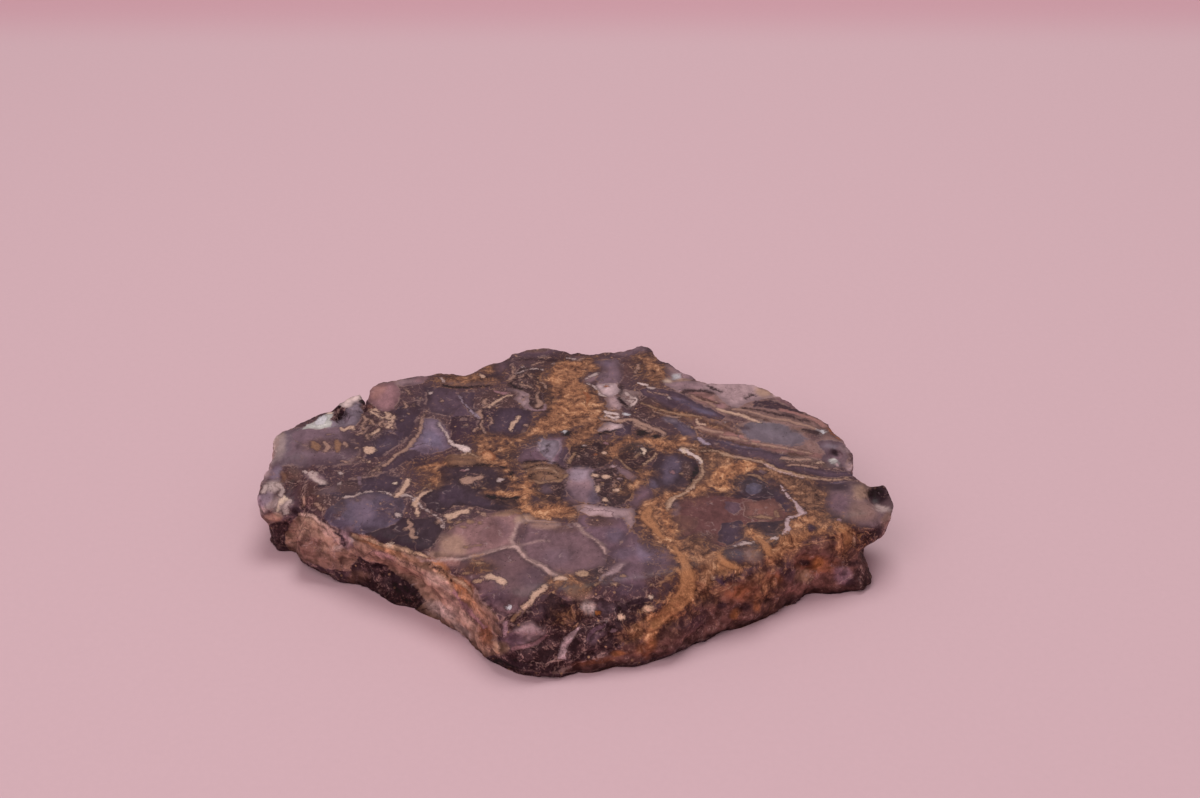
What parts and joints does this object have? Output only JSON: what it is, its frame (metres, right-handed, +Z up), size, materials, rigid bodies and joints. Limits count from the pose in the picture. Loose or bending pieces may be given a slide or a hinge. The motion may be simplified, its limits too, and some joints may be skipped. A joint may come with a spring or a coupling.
{
  "type": "moss agate slab",
  "caption": "Thick sawn slab of moss agate with flat faces above and below and a broken, pitted edge with rind, ledges and a small knob.",
  "frame": {"origin": "middle of the slab's box, on the sawn underside", "axes": "+Z up out of the sawn top face, +X along the slab's length, +Y across it, away from the steep front point"},
  "size_m": [0.1162, 0.091, 0.0137],
  "materials": {
    "agate": "dull polish on the sawn faces, rough on the broken edge"
  },
  "bodies": {
    "root": {"agate_slab": "agate"}
  },
  "joints": []
}
